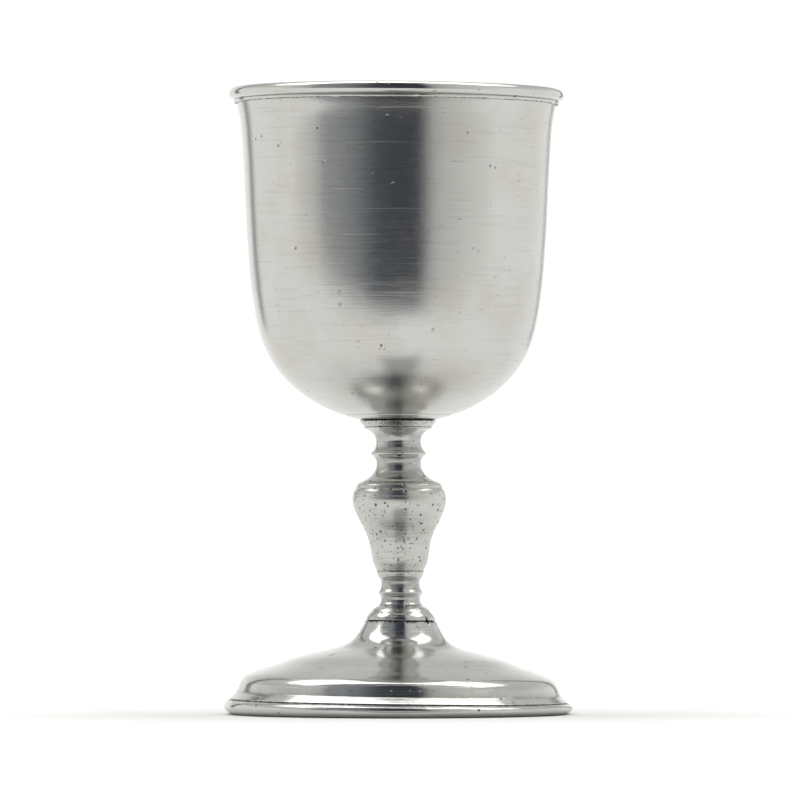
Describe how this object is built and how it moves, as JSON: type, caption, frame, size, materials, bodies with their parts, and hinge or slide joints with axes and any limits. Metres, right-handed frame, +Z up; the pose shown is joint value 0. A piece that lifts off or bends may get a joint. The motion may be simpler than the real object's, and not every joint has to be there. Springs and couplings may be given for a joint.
{
  "type": "communion chalice",
  "caption": "Pewter communion cup on a turned baluster stem and a stepped round foot, built from separate castings clamped on a hidden rod.",
  "frame": {"origin": "centre of the flat ring that the foot stands on", "axes": "+Z up along the axis of the stem and the cup; the part is round, so X and Y are free"},
  "size_m": [0.0998, 0.0998, 0.1788],
  "materials": {
    "turned_pewter": "satin, fine turning lines",
    "rim_pewter": "burnished",
    "cast_pewter": "burnished on the crests, dark in the hollows",
    "pitted_pewter": "satin casting with open pits",
    "foot_pewter": "burnished, fine turning lines",
    "brass": "dull",
    "steel": "zinc plated"
  },
  "bodies": {
    "root": {"bowl": "turned_pewter", "rim_moulding": "rim_pewter", "bowl_boss": "brass", "bowl_collar": "cast_pewter", "upper_stem": "cast_pewter", "knop": "pitted_pewter", "lower_stem": "cast_pewter", "foot_bead": "cast_pewter", "foot": "foot_pewter", "foot_ring": "foot_pewter", "tie_rod": "steel", "plain_washer": "brass", "clamp_nut": "brass"}
  },
  "joints": []
}
